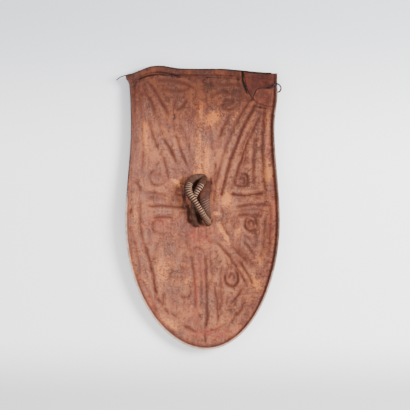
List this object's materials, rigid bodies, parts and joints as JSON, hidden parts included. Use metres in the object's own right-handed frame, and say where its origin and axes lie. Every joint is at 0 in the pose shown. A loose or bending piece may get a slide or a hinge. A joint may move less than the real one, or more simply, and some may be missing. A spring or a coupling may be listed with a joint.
{
  "type": "hide shield",
  "caption": "Long dished hide shield with a straight hemmed top, rounded tip, pressed line ornament, laced thong grip and a mended corner.",
  "frame": {"origin": "under the middle of the bounding box, on the level the shield rests on", "axes": "+Z out of the grip side, the shield lying on its outer face; +Y towards the straight hemmed top edge; +X towards the mended corner"},
  "size_m": [0.526, 0.9028, 0.0714],
  "materials": {
    "hide": "dry worn rawhide",
    "patch_leather": "dark red worn leather",
    "grip_leather": "wrapped thong, rubbed by the hand",
    "thong": "grey dried thong"
  },
  "bodies": {
    "root": {"hide_body": "hide", "grip_loop": "grip_leather", "grip_core": "grip_leather", "patch_upper": "patch_leather", "patch_lower": "patch_leather", "corner_tie": "thong", "edge_thong": "thong"}
  },
  "joints": []
}
